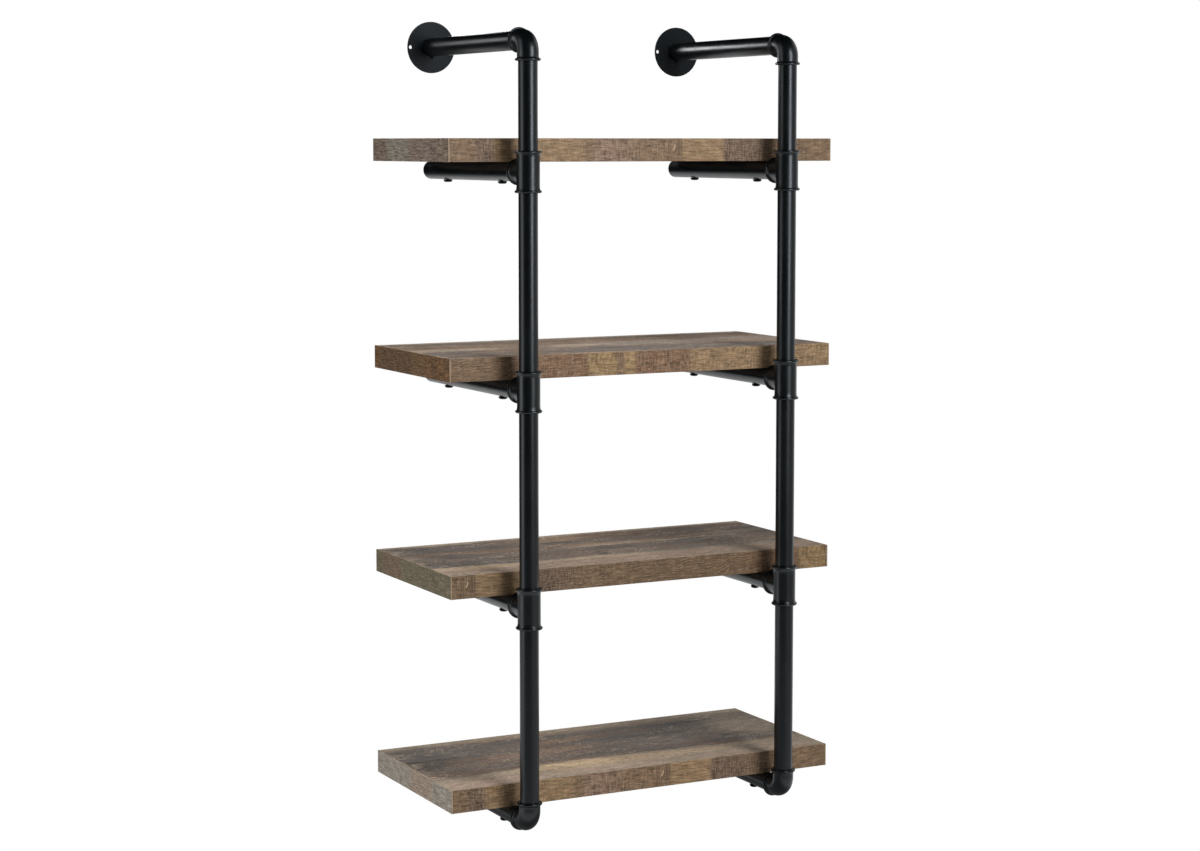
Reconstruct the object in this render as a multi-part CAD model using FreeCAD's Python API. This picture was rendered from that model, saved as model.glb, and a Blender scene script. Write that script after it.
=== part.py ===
"""Wall bookshelf: four laminated boards carried by two pipe frames that are screwed to a wall.

Millimetres, +Z up, +Y into the wall and +X to the right as seen from the room.
The origin lies on the wall, midway between the centres of the two wall flanges.
"""
import FreeCAD, Part
import math
import os

# Shelf boards
shelf_width = 800.0
shelf_depth = 352.0
shelf_thickness = 42.5
shelf_arris_radius = 0.8
shelf_pitch = 393.0
level_names = ("top", "upper_middle", "lower_middle", "bottom")

# Where the boards and the frames stand
wall_gap = 25.0
upright_inset = 131.0
upright_forward = 54.0
arm_above_top_shelf = 174.0
side_signs = {"left": -1, "right": 1}

# Pipe
tube_diameter = 35.0
tube_wall = 2.0

# Cast fittings
fitting_reach = 37.5
socket_depth = 15.0
socket_clearance = 0.15
tee_diameter = 42.0
tee_branch_reach = 42.0
tee_branch_step = 0.6
tee_crotch_radius = 3.0
tee_bead_diameter = 49.0
tee_bead_height = 5.0
tee_cove_height = 7.0
elbow_diameter = 39.0
elbow_bead_diameter = 46.5
elbow_bead_height = 4.6
elbow_cove_height = 3.4

# Wall flanges and the weld tacks behind the arms
flange_diameter = 98.0
flange_thickness = 3.0
flange_arris_radius = 0.6
wall_hole_diameter = 7.0
wall_hole_edge_distance = 6.0
tack_radius = 4.4
tack_angles = (30, 150, 270)

# Bolts that hold a board down on its two support tubes
bolt_edge_distance = 54.0
bolt_diameter = 6.0
bolt_head_diameter = 16.5
bolt_rim_height = 2.0
bolt_head_height = 4.8
bolt_head_clearance = 0.1
bolt_hole_clearance = 0.3
bolt_tip_chamfer = 0.8
hex_socket_width = 5.0
hex_socket_depth = 3.2

# Threaded inserts in the underside of a board
insert_diameter = 10.0
insert_length = 18.0
insert_wall_clearance = 0.1
thread_clearance = 0.1
thread_engagement = 15.0

# Plugs that close the rear ends of the support tubes
cap_head_thickness = 3.0
cap_edge_radius = 1.4
cap_stem_length = 14.0
cap_stem_wall = 1.6
cap_stem_clearance = 0.2
cap_rib_height = 1.2
cap_rib_count = 2
cap_rib_clearance = 0.05

# Length by which a cutting tool runs past the face it cuts
cut_overrun = 2.0

# How near a point must lie to a wall to count as on it
match_tolerance = 0.01

# Places that follow from the sizes above
upright_spacing = shelf_width - 2 * upright_inset
wall_hole_circle_radius = flange_diameter / 2 - wall_hole_edge_distance
tube_radius = tube_diameter / 2
bore_radius = tube_radius - tube_wall
tee_radius = tee_diameter / 2
elbow_radius = elbow_diameter / 2
branch_radius = tee_radius - tee_branch_step
branch_bore_radius = bore_radius - tee_branch_step
socket_radius = tube_radius + socket_clearance
shoulder_distance = fitting_reach - socket_depth
branch_shoulder_distance = tee_branch_reach - socket_depth
shelf_back_y = -wall_gap
shelf_front_y = shelf_back_y - shelf_depth
upright_y = shelf_front_y - upright_forward
arm_z = 0

X_AXIS = FreeCAD.Vector(1, 0, 0)
Y_AXIS = FreeCAD.Vector(0, 1, 0)
Z_AXIS = FreeCAD.Vector(0, 0, 1)


def shelf_top_z(level):
    """Height of a board's upper face; level 0 is the top board."""
    return arm_z - arm_above_top_shelf - level * shelf_pitch


def support_z(level):
    """Height of the support tubes' axis, which lie against the board's underside."""
    return shelf_top_z(level) - shelf_thickness - tube_radius


def upright_x(side):
    """Distance of a pipe frame's plane from the middle of the shelf."""
    return side_signs[side] * upright_spacing / 2


def bolt_ys():
    """The two bolt places along a support tube."""
    return (shelf_front_y + bolt_edge_distance, shelf_back_y - bolt_edge_distance)


def moved(shape, x, y, z):
    """The shape, carried to a place."""
    shape.translate(FreeCAD.Vector(x, y, z))
    return shape


def turned(shape, axis, angle):
    """The shape, turned about an axis through its own origin."""
    shape.rotate(FreeCAD.Vector(0, 0, 0), axis, angle)
    return shape


def rod(radius, start, end, direction):
    """A round bar on a line through the origin, from start to end along a direction."""
    return Part.makeCylinder(radius, end - start, direction * start, direction)


def turned_profile(edges):
    """A solid of revolution about Z from a closed outline drawn in the XZ plane."""
    face = Part.Face(Part.Wire(edges))
    return face.revolve(FreeCAD.Vector(0, 0, 0), Z_AXIS, 360)


def line(start, end):
    """A straight edge between two (radius, height) points."""
    points = [FreeCAD.Vector(radius, 0, height) for radius, height in (start, end)]
    return Part.LineSegment(*points).toShape()


def arc(start, middle, end):
    """A round edge through three (radius, height) points."""
    points = [FreeCAD.Vector(radius, 0, height) for radius, height in (start, middle, end)]
    return Part.Arc(*points).toShape()


def outlet(start, reach, body_radius, bead_diameter, bead_height, cove_height):
    """One solid leg of a fitting, up Z: plain body, hollow cove, then the round bead at its mouth."""
    bead_radius = bead_height / 2
    bead_centre = bead_diameter / 2 - bead_radius
    flare = bead_centre - body_radius
    cove_radius = (flare ** 2 + cove_height ** 2) / (2 * flare)
    half_sweep = math.asin(cove_height / cove_radius) / 2
    cove_start = reach - bead_height - cove_height
    cove_middle = (body_radius + cove_radius * (1 - math.cos(half_sweep)),
                   cove_start + cove_radius * math.sin(half_sweep))
    bead_foot = (bead_centre, reach - bead_height)
    bead_crown = (bead_centre + bead_radius, reach - bead_radius)
    bead_face = (bead_centre, reach)
    return turned_profile([
        line((0, start), (body_radius, start)),
        line((body_radius, start), (body_radius, cove_start)),
        arc((body_radius, cove_start), cove_middle, bead_foot),
        arc(bead_foot, bead_crown, bead_face),
        line(bead_face, (0, reach)),
        line((0, reach), (0, start)),
    ])


def tee_outlet(reach, body_radius):
    """One leg of a tee, up Z from its middle."""
    return outlet(0, reach, body_radius, tee_bead_diameter, tee_bead_height, tee_cove_height)


def socket_cut(direction, reach):
    """The bore that takes a tube end, from a mouth at that reach down to the shoulder that it seats on."""
    return rod(socket_radius, reach - socket_depth, reach + cut_overrun, direction)


def crossing_edges(body):
    """The edges where a tee's branch meets its run: points on the plain walls of both."""
    edges = []
    for edge in body.Edges:
        middle = edge.valueAt((edge.FirstParameter + edge.LastParameter) / 2)
        off_run = abs(math.hypot(middle.x, middle.y) - tee_radius)
        off_branch = abs(math.hypot(middle.x, middle.z) - branch_radius)
        if max(off_run, off_branch) < match_tolerance:
            edges.append(edge)
    return edges


def tee():
    """A tee with its run on Z, a slightly slimmer branch towards the wall and a rounded crotch."""
    upper = tee_outlet(fitting_reach, tee_radius)
    lower = turned(upper.copy(), X_AXIS, 180)
    branch = turned(tee_outlet(tee_branch_reach, branch_radius), X_AXIS, -90)
    body = upper.fuse([lower, branch]).removeSplitter()
    body = body.makeFillet(tee_crotch_radius, crossing_edges(body))
    run_bore = rod(bore_radius, -shoulder_distance, shoulder_distance, Z_AXIS)
    branch_bore = rod(branch_bore_radius, 0, branch_shoulder_distance, Y_AXIS)
    sockets = [socket_cut(direction, fitting_reach) for direction in (Z_AXIS, -Z_AXIS)]
    sockets.append(socket_cut(Y_AXIS, tee_branch_reach))
    return body.cut([run_bore, branch_bore] + sockets).removeSplitter()


def quarter_bend(radius):
    """A quarter turn of round bar from +Z to +Y, as wide as its fitting's shoulders allow."""
    bend_radius = shoulder_distance
    section = Part.Face(Part.Wire(Part.makeCircle(radius, FreeCAD.Vector(0, 0, bend_radius), Z_AXIS)))
    return section.revolve(FreeCAD.Vector(0, bend_radius, bend_radius), X_AXIS, 90)


def elbow():
    """An elbow with its mouths towards +Z and towards the wall."""
    upper = outlet(shoulder_distance, fitting_reach, elbow_radius,
                   elbow_bead_diameter, elbow_bead_height, elbow_cove_height)
    branch = turned(turned(upper.copy(), X_AXIS, -90), Y_AXIS, 180)
    body = quarter_bend(elbow_radius).fuse([upper, branch])
    cuts = [quarter_bend(bore_radius)] + [socket_cut(direction, fitting_reach) for direction in (Z_AXIS, Y_AXIS)]
    return body.cut(cuts).removeSplitter()


def tube(length):
    """A length of pipe up Z from the origin."""
    outside = Part.makeCylinder(tube_radius, length)
    inside = Part.makeCylinder(bore_radius, length + 2 * cut_overrun, FreeCAD.Vector(0, 0, -cut_overrun))
    return outside.cut(inside)


def tube_along(length, direction):
    """A length of pipe that starts at the origin and runs up or towards the wall."""
    pipe = tube(length)
    return pipe if direction == Z_AXIS else turned(pipe, X_AXIS, -90)


def top_elbow():
    """The elbow at the head of an upright, with its mouths down and towards the wall."""
    return turned(elbow(), Y_AXIS, 180)


def wall_arm():
    """The tube from the top elbow's shoulder to the flange plate."""
    start = upright_y + shoulder_distance
    return moved(tube_along(-flange_thickness - start, Y_AXIS), 0, start, arm_z)


def wall_flange():
    """A round plate against the wall with one screw hole on each side of the arm."""
    plate = Part.makeCylinder(flange_diameter / 2, flange_thickness, FreeCAD.Vector(0, 0, 0), -Y_AXIS)
    plate = plate.makeFillet(flange_arris_radius, [edge for edge in plate.Edges if edge.Closed])
    hole_length = flange_thickness + 2 * cut_overrun
    for sign in side_signs.values():
        place = FreeCAD.Vector(sign * wall_hole_circle_radius, cut_overrun, 0)
        plate = plate.cut(Part.makeCylinder(wall_hole_diameter / 2, hole_length, place, -Y_AXIS))
    return moved(plate, 0, 0, arm_z)


def tack_welds():
    """Three weld tacks in the corner between the arm and its plate."""
    corner_y = -flange_thickness
    arm = rod(tube_radius, 0, tack_radius + cut_overrun, -Y_AXIS)
    plate = rod(flange_diameter / 2, 0, tack_radius + cut_overrun, Y_AXIS)
    tacks = []
    for angle in tack_angles:
        tack = Part.makeSphere(tack_radius, FreeCAD.Vector(tube_radius, 0, 0))
        tacks.append(turned(tack, Y_AXIS, -angle).cut([arm, plate]))
    return [moved(tack, 0, corner_y, arm_z) for tack in tacks]


def upright(section):
    """One of the upright's tubes; section 0 hangs from the top elbow."""
    top = (arm_z if section == 0 else support_z(section - 1)) - shoulder_distance
    foot = support_z(section) + shoulder_distance
    return moved(tube(top - foot), 0, upright_y, foot)


def support_tube(level):
    """The tube under a board, from the fitting on the upright to its plug at the wall."""
    in_elbow = level == len(level_names) - 1
    start = upright_y + (shoulder_distance if in_elbow else branch_shoulder_distance)
    pipe = moved(tube_along(-cap_head_thickness - start, Y_AXIS), 0, start, support_z(level))
    hole_radius = bolt_diameter / 2 + bolt_hole_clearance
    for y in bolt_ys():
        foot = FreeCAD.Vector(0, y, support_z(level) - tube_diameter)
        pipe = pipe.cut(Part.makeCylinder(hole_radius, 2 * tube_diameter, foot))
    return pipe


def end_cap(level):
    """The plug in a support tube's rear end; its flat head bears on the wall."""
    head = Part.makeCylinder(tube_radius, cap_head_thickness)
    wall_edge = [edge for edge in head.Edges if edge.Closed and abs(edge.CenterOfMass.z) < cap_edge_radius]
    head = head.makeFillet(cap_edge_radius, wall_edge)
    stem_radius = bore_radius - cap_stem_clearance
    stem_end = cap_head_thickness + cap_stem_length
    stem = rod(stem_radius, cap_head_thickness, stem_end, Z_AXIS)
    rib_step = cap_stem_length / (cap_rib_count + 1)
    ribs = []
    for index in range(cap_rib_count):
        foot = cap_head_thickness + (index + 1) * rib_step
        ribs.append(rod(bore_radius - cap_rib_clearance, foot, foot + cap_rib_height, Z_AXIS))
    hollow = rod(stem_radius - cap_stem_wall, cap_head_thickness, stem_end + cut_overrun, Z_AXIS)
    plug = head.fuse([stem] + ribs).cut(hollow).removeSplitter()
    return moved(turned(plug, X_AXIS, 90), 0, 0, support_z(level))


def shelf(level):
    """A thick board with crisp, slightly eased edges and blind bores for the inserts."""
    board = Part.makeBox(shelf_width, shelf_depth, shelf_thickness)
    board = board.makeFillet(shelf_arris_radius, board.Edges)
    board = moved(board, -shelf_width / 2, shelf_front_y, shelf_top_z(level) - shelf_thickness)
    bore = insert_diameter / 2 + insert_wall_clearance
    underside = shelf_top_z(level) - shelf_thickness
    for x, y in bolt_places():
        foot = FreeCAD.Vector(x, y, underside - cut_overrun)
        board = board.cut(Part.makeCylinder(bore, insert_length + cut_overrun, foot))
    return board


def bolt_places():
    """The four (x, y) places under a board where bolts go up into it."""
    return [(upright_x(side), y) for side in side_signs for y in bolt_ys()]


def insert():
    """A threaded sleeve, shown without its thread, up Z from the board's underside."""
    sleeve = Part.makeCylinder(insert_diameter / 2, insert_length)
    bore_end = insert_length + cut_overrun
    return sleeve.cut(rod(bolt_diameter / 2 + thread_clearance, -cut_overrun, bore_end, Z_AXIS))


def bolt():
    """A button-head bolt up Z with its head's flat side at the origin and a hexagon socket below."""
    head_radius = bolt_head_diameter / 2
    shank_radius = bolt_diameter / 2
    tip = bolt_head_clearance + tube_diameter + thread_engagement
    crown_radius = hex_socket_width * math.sqrt(2) / 2
    rim_foot = (head_radius, -bolt_rim_height)
    crown_edge = (crown_radius, -bolt_head_height)
    dome_share = math.sqrt(0.5)
    dome = (crown_radius + (head_radius - crown_radius) * dome_share,
            -bolt_rim_height - (bolt_head_height - bolt_rim_height) * dome_share)
    body = turned_profile([
        line((0, tip), (shank_radius - bolt_tip_chamfer, tip)),
        line((shank_radius - bolt_tip_chamfer, tip), (shank_radius, tip - bolt_tip_chamfer)),
        line((shank_radius, tip - bolt_tip_chamfer), (shank_radius, 0)),
        line((shank_radius, 0), (head_radius, 0)),
        line((head_radius, 0), rim_foot),
        arc(rim_foot, dome, crown_edge),
        line(crown_edge, (0, -bolt_head_height)),
        line((0, -bolt_head_height), (0, tip)),
    ])
    return body.cut(hex_key_hole())


def hex_key_hole():
    """The six-sided recess that takes the key, cut up into the head."""
    corner = hex_socket_width / math.sqrt(3)
    mouth = -bolt_head_height - cut_overrun
    points = []
    for index in range(7):
        angle = math.radians(60 * index)
        points.append(FreeCAD.Vector(corner * math.cos(angle), corner * math.sin(angle), mouth))
    outline = Part.Face(Part.makePolygon(points))
    return outline.extrude(Z_AXIS * (hex_socket_depth + cut_overrun))


def save(node, solids):
    """Write one node's solids to its own file."""
    solids = solids if isinstance(solids, list) else [solids]
    shape = solids[0] if len(solids) == 1 else Part.makeCompound(solids)
    for solid in solids:
        if len(solid.Solids) != 1 or not solid.isValid():
            raise ValueError(node + " is not one sound solid")
    shape.exportStep(os.path.join("parts", node + ".step"))
    print(node, len(shape.Solids), "solid(s)", round(shape.Volume), "mm3")


def save_frame(side):
    """The pipe frame of one side, from its wall flange down to its bottom elbow."""
    x = upright_x(side)
    last = len(level_names) - 1
    save(side + "_wall_flange", moved(wall_flange(), x, 0, 0))
    save(side + "_flange_tack_welds", [moved(tack, x, 0, 0) for tack in tack_welds()])
    save(side + "_wall_arm", moved(wall_arm(), x, 0, 0))
    save(side + "_top_elbow", moved(top_elbow(), x, upright_y, arm_z))
    for level, name in enumerate(level_names):
        save(side + "_" + name + "_upright", moved(upright(level), x, 0, 0))
        save(side + "_" + name + "_support_tube", moved(support_tube(level), x, 0, 0))
        save(side + "_" + name + "_end_cap", moved(end_cap(level), x, 0, 0))
        fitting = elbow() if level == last else tee()
        kind = "_elbow" if level == last else "_tee"
        save(side + "_" + name + kind, moved(fitting, x, upright_y, support_z(level)))


def save_boards():
    """The boards with the inserts and bolts that hold each of them."""
    for level, name in enumerate(level_names):
        underside = shelf_top_z(level) - shelf_thickness
        head_seat = underside - tube_diameter - bolt_head_clearance
        save(name + "_shelf", shelf(level))
        save(name + "_shelf_inserts", [moved(insert(), x, y, underside) for x, y in bolt_places()])
        save(name + "_shelf_bolts", [moved(bolt(), x, y, head_seat) for x, y in bolt_places()])


os.makedirs("parts", exist_ok=True)
for frame_side in side_signs:
    save_frame(frame_side)
save_boards()
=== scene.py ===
"""Looks of a wall bookshelf: four wood-look boards on a black steel pipe frame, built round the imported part.

The boards are rebuilt as panels with their edge bands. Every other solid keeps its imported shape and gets
its own finish. Lengths are metres unless a name ends in _mm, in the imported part's frame: the wall is y = 0,
x runs to the right and z up.
"""

import logging
import math
from dataclasses import dataclass, field
from enum import Enum

import bmesh
import bpy
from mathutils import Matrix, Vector


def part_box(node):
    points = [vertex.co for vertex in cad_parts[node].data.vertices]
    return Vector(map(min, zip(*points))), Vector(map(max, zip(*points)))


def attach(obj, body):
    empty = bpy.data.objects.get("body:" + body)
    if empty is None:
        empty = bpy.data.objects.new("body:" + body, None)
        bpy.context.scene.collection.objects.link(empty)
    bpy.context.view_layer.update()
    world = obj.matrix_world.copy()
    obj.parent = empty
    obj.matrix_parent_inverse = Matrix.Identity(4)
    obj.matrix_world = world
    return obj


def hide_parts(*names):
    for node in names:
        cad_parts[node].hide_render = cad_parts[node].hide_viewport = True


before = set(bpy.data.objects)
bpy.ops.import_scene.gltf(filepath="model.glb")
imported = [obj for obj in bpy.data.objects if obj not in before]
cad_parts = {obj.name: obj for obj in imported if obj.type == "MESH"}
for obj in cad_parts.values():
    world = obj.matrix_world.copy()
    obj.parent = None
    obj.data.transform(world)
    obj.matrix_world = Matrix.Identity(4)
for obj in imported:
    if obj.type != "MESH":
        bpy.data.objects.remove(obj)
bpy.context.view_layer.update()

log = logging.getLogger("bookshelf")

MM = 0.001
BODY = "root"
LEVELS = ("top", "upper_middle", "lower_middle", "bottom")
# A corner this near a plane lies on it.
TOUCHING = 0.0001 * MM
# Nearly all values of a noise lie between these two.
NOISE_LOW, NOISE_HIGH = 0.36, 0.64
WHITE = (1.0, 1.0, 1.0, 1.0)

Colour = tuple[float, float, float, float]
Material = bpy.types.Material
Node = bpy.types.Node
Socket = bpy.types.NodeSocket
# What may feed a node's input.
Source = Node | Socket
Tree = bpy.types.ShaderNodeTree


def linear(hex_colour: str, brightness: float = 1.0) -> Colour:
    """Turns an sRGB hex colour to the linear colour that shaders use.

    Args:
        hex_colour: A colour such as "#7E6A58".
        brightness: What its light is multiplied by.

    Returns:
        Red, green, blue and an alpha of one.
    """
    values = [int(hex_colour[i : i + 2], 16) / 255 for i in (1, 3, 5)]
    red, green, blue = (
        brightness * (v / 12.92 if v <= 0.04045 else ((v + 0.055) / 1.055) ** 2.4) for v in values)
    return red, green, blue, 1.0


def add_node(tree: Tree, kind: str, inputs: dict | None = None, **settings) -> Node:
    """Adds a node with its links and settings.

    Args:
        tree: The node tree that gets it.
        kind: The node's type without its "ShaderNode" start, such as "TexNoise".
        inputs: For an input's name or number, its value, or the output or node that feeds it. Of a node, the
            first output in use is taken.
        **settings: Values of the node's own attributes.

    Returns:
        The new node.
    """
    node = tree.nodes.new("ShaderNode" + kind)
    for name, value in settings.items():
        setattr(node, name, value)
    for key, value in (inputs or {}).items():
        if isinstance(value, Node):
            value = next(output for output in value.outputs if output.enabled)
        if isinstance(value, Socket):
            tree.links.new(value, node.inputs[key])
        else:
            node.inputs[key].default_value = value
    return node


def fill_ramp(node: Node, stops: list[tuple[float, Colour]]) -> Node:
    """Gives a new colour ramp its stops.

    Args:
        node: The colour ramp's node.
        stops: Place from zero to one, and colour, of each stop in order.

    Returns:
        The node.
    """
    elements = node.color_ramp.elements
    elements.remove(elements[-1])
    elements[0].position, elements[0].color = stops[0]
    for place, colour in stops[1:]:
        elements.new(place).color = colour
    return node


def grain_noise(
    tree: Tree, place: Source, along_mm: float, across_mm: float, detail: float = 2.0, roughness: float = 0.5
) -> Node:
    """Adds a flat noise that is drawn out one way.

    Args:
        tree: The node tree that gets it.
        place: Place on the print, in millimetres.
        along_mm: Size of its blots along the print.
        across_mm: Their size across the print.
        detail: Levels of finer noise in it.
        roughness: Strength of each finer level.

    Returns:
        The noise.
    """
    blots = add_node(tree, "Mapping", {"Vector": place, "Scale": (1 / along_mm, 1 / across_mm, 0.0)})
    return add_node(
        tree, "TexNoise", {"Vector": blots, "Scale": 1.0, "Detail": detail, "Roughness": roughness},
        noise_dimensions="2D")


def surface_noise(tree: Tree, size_mm: float, detail: float = 2.0, roughness: float = 0.5) -> Node:
    """Adds a noise that is alike all ways round a solid.

    Args:
        tree: The node tree that gets it.
        size_mm: Size of its blots.
        detail: Levels of finer noise in it.
        roughness: Strength of each finer level.

    Returns:
        The noise.
    """
    place = add_node(tree, "TexCoord").outputs["Object"]
    return add_node(tree, "TexNoise", {
        "Vector": place, "Scale": 1 / (size_mm * MM), "Detail": detail, "Roughness": roughness})


def new_material(name: str) -> tuple[Material, Tree]:
    """Starts a material with an empty node tree.

    Args:
        name: The finish it shows.

    Returns:
        The material and its tree.
    """
    material = bpy.data.materials.new(name)
    material.use_nodes = True
    material.node_tree.nodes.clear()
    return material, material.node_tree


def close_material(tree: Tree, settings: dict, relief: Source, depth_mm: float) -> None:
    """Ends a material with its surface shader.

    Args:
        tree: The material's tree.
        settings: Inputs of the surface shader.
        relief: The relief pattern.
        depth_mm: Depth of that relief.
    """
    bump = add_node(tree, "Bump", {"Strength": 1.0, "Distance": depth_mm * MM, "Height": relief})
    shader = add_node(tree, "BsdfPrincipled", {**settings, "Normal": bump})
    add_node(tree, "OutputMaterial", {"Surface": shader})


class Ink(Enum):
    """Inks of the printed oak, as they look in plain daylight."""

    CREAM = "#A08F79"
    TAN = "#8C7459"
    OCHRE = "#8F7757"
    ROSE = "#846D5D"
    BROWN = "#7B6550"
    RUST = "#775D49"
    PLUM = "#6B584A"
    UMBER = "#5B4B3C"
    SLATE = "#4A4540"
    STONE = "#625C58"
    ASH = "#9A8F84"
    SAND = "#B09676"
    STRAW = "#C4A981"
    BLUSH = "#A78C7A"
    OLIVE = "#716850"
    MOSS = "#857A69"

    @property
    def colour(self) -> Colour:
        """The ink as a linear colour."""
        return linear(self.value)


class Axis(Enum):
    """Which way a print runs over the board."""

    X = 0
    Y = 1


# Material slots of a board's panel.
FACE_SLOT, UNDERSIDE_SLOT, CORE_SLOT = 0, 1, 2


@dataclass(frozen=True)
class Plank:
    """One printed plank on the roll of edge band.

    Attributes:
        start_mm: Where it starts along the roll.
        tone: Its main ink.
        saw_marks: How strong the cross-cut saw marks are, from 0 to 1.
        waves: How strong the wavy heart grain is, from 0 to 1.
        blend_mm: Length over which it runs into the plank before.
    """

    start_mm: float
    tone: Ink
    saw_marks: float
    waves: float = 0.0
    blend_mm: float = 10.0


@dataclass(frozen=True)
class Patch:
    """A patch of another ink on the printed face, drawn out along the grain.

    Attributes:
        along_mm: Its middle along the grain.
        across_mm: Its middle across the grain.
        half_length_mm: Half its length.
        half_width_mm: Half its width.
        tone: Its ink.
        strength: How much of the ink shows, from 0 to 1.
        fade: Share of its half width over which it runs out.
    """

    along_mm: float
    across_mm: float
    half_length_mm: float
    half_width_mm: float
    tone: Ink
    strength: float
    fade: float = 0.4


ROLL: tuple[Plank, ...] = (
    Plank(-520, Ink.BROWN, 0.45),
    Plank(-402, Ink.PLUM, 1.0),
    Plank(-366, Ink.TAN, 0.5, 0.0, 16),
    Plank(-186, Ink.BROWN, 0.4, 0.0, 4),
    Plank(-166, Ink.ROSE, 0.8),
    Plank(-90, Ink.BROWN, 0.8, 0.0, 60),
    Plank(16, Ink.TAN, 0.2, 0.0, 8),
    Plank(106, Ink.PLUM, 0.9, 0.0, 6),
    Plank(200, Ink.BROWN, 0.4, 0.3, 60),
    Plank(326, Ink.BROWN, 0.15, 1.0, 60),
    Plank(575, Ink.RUST, 0.6, 0.0, 90),
    Plank(702, Ink.OCHRE, 0.9, 0.0, 6),
    Plank(764, Ink.BROWN, 0.8, 0.0, 4),
    Plank(781, Ink.OCHRE, 0.6, 0.0, 4),
    Plank(804, Ink.RUST, 0.8, 0.0, 4),
    Plank(920, Ink.TAN, 0.7, 0.0, 4),
)
PALE_FLECK = linear("#C6B29C")
KERF_DARK = linear("#33281F")
KNOT_PALE = linear("#C8B294")

END_PLANKS: dict[str, tuple[Plank, ...]] = {
    "top": (
        Plank(-5, Ink.BROWN, 0.5, 0.5), Plank(70, Ink.MOSS, 0.2, 0.0, 20),
        Plank(176, Ink.ROSE, 0.1, 0.5, 12), Plank(290, Ink.BROWN, 0.2, 0.0, 8)),
    "upper_middle": (
        Plank(-5, Ink.RUST, 0.2, 0.7), Plank(34, Ink.PLUM, 0.2, 1.0, 20),
        Plank(180, Ink.BROWN, 0.3, 0.9, 30), Plank(238, Ink.RUST, 0.4, 0.6, 8)),
    "lower_middle": (
        Plank(-5, Ink.OLIVE, 0.4, 0.5), Plank(35, Ink.BROWN, 0.1, 0.6, 6),
        Plank(122, Ink.OLIVE, 0.2, 0.0, 16), Plank(232, Ink.OLIVE, 0.6, 0.3, 30),
        Plank(275, Ink.OLIVE, 0.1, 0.0, 20)),
    "bottom": (
        Plank(-5, Ink.MOSS, 0.2, 0.3), Plank(66, Ink.MOSS, 0.4, 0.2, 10),
        Plank(158, Ink.TAN, 0.1, 0.5, 10), Plank(262, Ink.MOSS, 0.2, 0.0, 8)),
}

PATCHES: dict[str, tuple[Patch, ...]] = {
    "upper_middle": (
        Patch(0, 40, 1200, 100, Ink.BROWN, 0.7),
        Patch(-330, 0, 140, 34, Ink.CREAM, 0.8),
        Patch(-40, 4, 80, 30, Ink.SAND, 0.8),
        Patch(150, -10, 90, 16, Ink.CREAM, 0.5),
        Patch(160, 0, 400, 76, Ink.ASH, 0.5, 0.6),
        Patch(320, 0, 200, 90, Ink.ASH, 0.6, 0.6),
        Patch(300, -20, 160, 36, Ink.TAN, 0.6),
        Patch(60, -112, 900, 36, Ink.STONE, 0.9),
        Patch(-290, -128, 170, 40, Ink.UMBER, 0.9),
        Patch(60, -168, 300, 12, Ink.TAN, 0.6),
    ),
    "lower_middle": (
        Patch(0, -130, 1200, 56, Ink.CREAM, 0.5, 0.3),
        Patch(0, -140, 900, 40, Ink.ROSE, 0.6),
        Patch(-310, -104, 190, 26, Ink.SAND, 0.6, 0.7),
        Patch(-40, -104, 170, 18, Ink.SAND, 0.5, 0.7),
        Patch(210, 118, 260, 56, Ink.UMBER, 0.5),
        Patch(100, 28, 260, 11, Ink.CREAM, 0.8, 0.7),
        Patch(270, -30, 200, 26, Ink.SLATE, 0.3),
        Patch(-180, -45, 120, 20, Ink.UMBER, 0.5),
        Patch(-30, 128, 60, 34, Ink.TAN, 0.7),
        Patch(-29, -58, 11, 26, Ink.SLATE, 0.9),
    ),
    "bottom": (
        Patch(0, -130, 1200, 56, Ink.CREAM, 0.8, 0.3),
        Patch(-330, -70, 190, 30, Ink.PLUM, 0.8, 0.6),
        Patch(-330, -150, 190, 40, Ink.BLUSH, 0.7, 0.6),
        Patch(-30, -104, 250, 34, Ink.SAND, 0.6),
        Patch(-110, -96, 140, 32, Ink.SAND, 1.0, 0.5),
        Patch(-95, -94, 90, 16, Ink.STRAW, 0.8, 0.6),
        Patch(-60, -150, 150, 22, Ink.BLUSH, 0.7, 0.6),
        Patch(160, -104, 120, 22, Ink.SAND, 0.8, 0.7),
        Patch(250, -150, 170, 24, Ink.BLUSH, 0.6, 0.6),
        Patch(0, 162, 1200, 40, Ink.CREAM, 0.6, 0.8),
        Patch(-300, 98, 200, 54, Ink.STONE, 0.8),
        Patch(-372, 14, 64, 44, Ink.SLATE, 0.85),
        Patch(240, 20, 300, 90, Ink.ASH, 0.25, 0.7),
        Patch(-150, 10, 120, 26, Ink.ROSE, 0.6),
        Patch(292, -18, 34, 20, Ink.SLATE, 1.0),
        Patch(345, 40, 110, 110, Ink.CREAM, 0.6, 0.6),
    ),
}
PATCHES["top"] = PATCHES["lower_middle"]


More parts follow.
